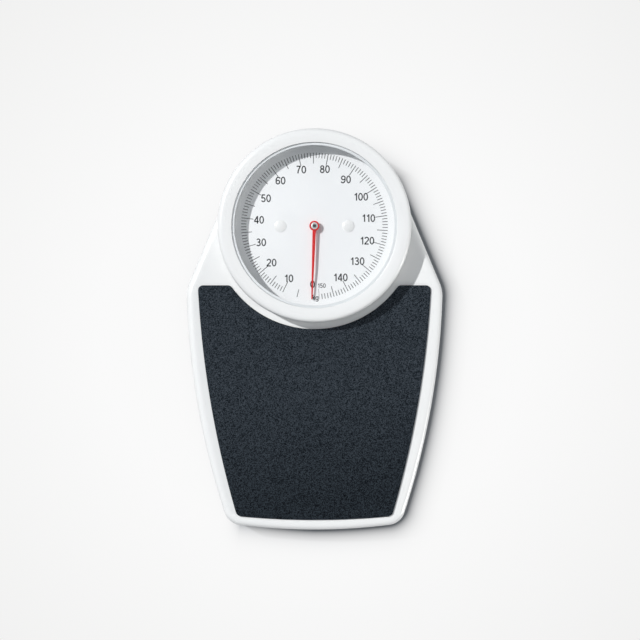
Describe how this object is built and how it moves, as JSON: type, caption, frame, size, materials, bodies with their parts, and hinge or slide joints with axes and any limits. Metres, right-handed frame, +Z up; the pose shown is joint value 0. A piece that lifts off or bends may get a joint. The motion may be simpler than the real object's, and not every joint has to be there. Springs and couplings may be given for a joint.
{
  "type": "mechanical personal scale",
  "caption": "Mechanical floor scale with a rubber-matted steel platform and a large round dial head with a red pointer under a clear lens.",
  "frame": {"origin": "on the floor under the middle of the whole scale", "axes": "+Z up, +Y from the toes end towards the dial head, +X to the right of a person who stands on it and reads the dial"},
  "size_m": [0.2954, 0.4604, 0.074],
  "materials": {
    "white_enamel": "gloss powder coat",
    "mat_rubber": "fine grained",
    "foot_rubber": "matt",
    "bezel_plastic": "moulded satin gloss",
    "ring_plastic": "moulded satin",
    "lens_plastic": "clear",
    "dial_paint": "matt white with grey print",
    "pointer_paint": "satin red",
    "zinc_steel": "zinc plated",
    "lever_steel": "rolled, oiled",
    "knife_steel": "ground",
    "spring_steel": "oiled",
    "brass": "turned",
    "wheel_plastic": "moulded"
  },
  "bodies": {
    "base": {"base_pan": "zinc_steel", "foot_front_left": "foot_rubber", "foot_front_right": "foot_rubber", "foot_rear_left": "foot_rubber", "foot_rear_right": "foot_rubber", "fulcrum_front_left": "zinc_steel", "fulcrum_front_right": "zinc_steel", "fulcrum_rear_left": "zinc_steel", "fulcrum_rear_right": "zinc_steel", "gear_post_1": "zinc_steel", "gear_post_2": "zinc_steel", "gear_post_3": "zinc_steel", "gear_post_4": "zinc_steel", "post_screw_1": "zinc_steel", "post_screw_2": "zinc_steel", "post_screw_3": "zinc_steel", "post_screw_4": "zinc_steel", "gear_plate": "zinc_steel", "dial_plate": "dial_paint", "dial_rivet_left": "white_enamel", "dial_rivet_right": "white_enamel", "shaft_bush": "brass", "spring_bridge": "zinc_steel", "main_spring": "spring_steel", "crank_bracket": "zinc_steel", "crank_pin": "knife_steel", "rack_guide": "zinc_steel", "zero_strap": "spring_steel", "zero_spindle": "knife_steel"},
    "cover": {"platform_cover": "white_enamel", "platform_mat": "mat_rubber", "dial_housing": "bezel_plastic", "bezel_ring": "bezel_plastic", "dial_lens": "lens_plastic", "lens_ring": "ring_plastic", "load_saddle_front_left": "zinc_steel", "load_saddle_front_right": "zinc_steel", "load_saddle_rear_left": "zinc_steel", "load_saddle_rear_right": "zinc_steel"},
    "main_lever": {"main_lever_left": "lever_steel", "main_lever_right": "lever_steel", "main_lever_nose": "lever_steel", "fulcrum_knife_main_lever_left": "knife_steel", "fulcrum_knife_main_lever_right": "knife_steel", "load_knife_main_lever_left": "knife_steel", "load_knife_main_lever_right": "knife_steel"},
    "short_lever_left": {"short_lever_left": "lever_steel", "fulcrum_knife_short_lever_left": "knife_steel", "load_knife_short_lever_left": "knife_steel"},
    "short_lever_right": {"short_lever_right": "lever_steel", "fulcrum_knife_short_lever_right": "knife_steel", "load_knife_short_lever_right": "knife_steel"},
    "drawbar": {"drawbar": "zinc_steel"},
    "crank": {"bell_crank": "lever_steel"},
    "rack": {"rack": "brass"},
    "pointer": {"pinion_shaft": "brass", "pointer": "pointer_paint", "pointer_cap": "zinc_steel"},
    "zero_wheel": {"zero_wheel": "wheel_plastic"}
  },
  "joints": [
    {"name": "cover_slide", "type": "slide", "parent": "base", "child": "cover", "axis": [0, 0, -1], "range_m": [0, 0.00052239]},
    {"name": "pointer_turn", "type": "hinge", "parent": "base", "child": "pointer", "pos_m": [0, 0.1195, 0.056], "axis": [0, 0, -1], "range_deg": [0, 354.2], "stiffness_Nm_per_rad": 0.02, "springref_deg": -14.32},
    {"name": "main_lever_turn", "type": "hinge", "parent": "base", "child": "main_lever", "pos_m": [0, -0.188, 0.0232], "axis": [-1, 0, 0], "range_deg": [0, 1.5], "stiffness_Nm_per_rad": 8, "springref_deg": -1.72},
    {"name": "short_lever_left_turn", "type": "hinge", "parent": "base", "child": "short_lever_left", "pos_m": [-0.112, 0.025, 0.0232], "axis": [1, 0, 0], "range_deg": [0, 1.5], "stiffness_Nm_per_rad": 1, "springref_deg": -1.72},
    {"name": "short_lever_right_turn", "type": "hinge", "parent": "base", "child": "short_lever_right", "pos_m": [0.112, 0.025, 0.0232], "axis": [1, 0, 0], "range_deg": [0, 1.5], "stiffness_Nm_per_rad": 1, "springref_deg": -1.72},
    {"name": "drawbar_slide", "type": "slide", "parent": "base", "child": "drawbar", "axis": [0, 0, -1], "range_m": [0, 0.007], "stiffness_N_per_m": 50, "springref_m": -0.0025, "deforming": ["main_spring"]},
    {"name": "crank_turn", "type": "hinge", "parent": "base", "child": "crank", "pos_m": [0.0058, 0.1045, 0.0149], "axis": [1, 0, 0], "range_deg": [0, 29.6]},
    {"name": "rack_slide", "type": "slide", "parent": "base", "child": "rack", "axis": [0, -1, 0], "range_m": [0, 0.01546]},
    {"name": "zero_wheel_turn", "type": "hinge", "parent": "base", "child": "zero_wheel", "pos_m": [0, 0.2189, 0.016], "axis": [0, 0, 1], "range_deg": [-180, 180]}
  ],
  "couplings": [
    {"joint": "pointer_turn", "follows": "cover_slide", "rad_per_m": 11834},
    {"joint": "main_lever_turn", "follows": "cover_slide", "rad_per_m": 50},
    {"joint": "short_lever_left_turn", "follows": "cover_slide", "rad_per_m": 50},
    {"joint": "short_lever_right_turn", "follows": "cover_slide", "rad_per_m": 50},
    {"joint": "drawbar_slide", "follows": "cover_slide", "ratio": 13.4},
    {"joint": "crank_turn", "follows": "cover_slide", "rad_per_m": 986.17},
    {"joint": "rack_slide", "follows": "cover_slide", "ratio": 29.585}
  ]
}
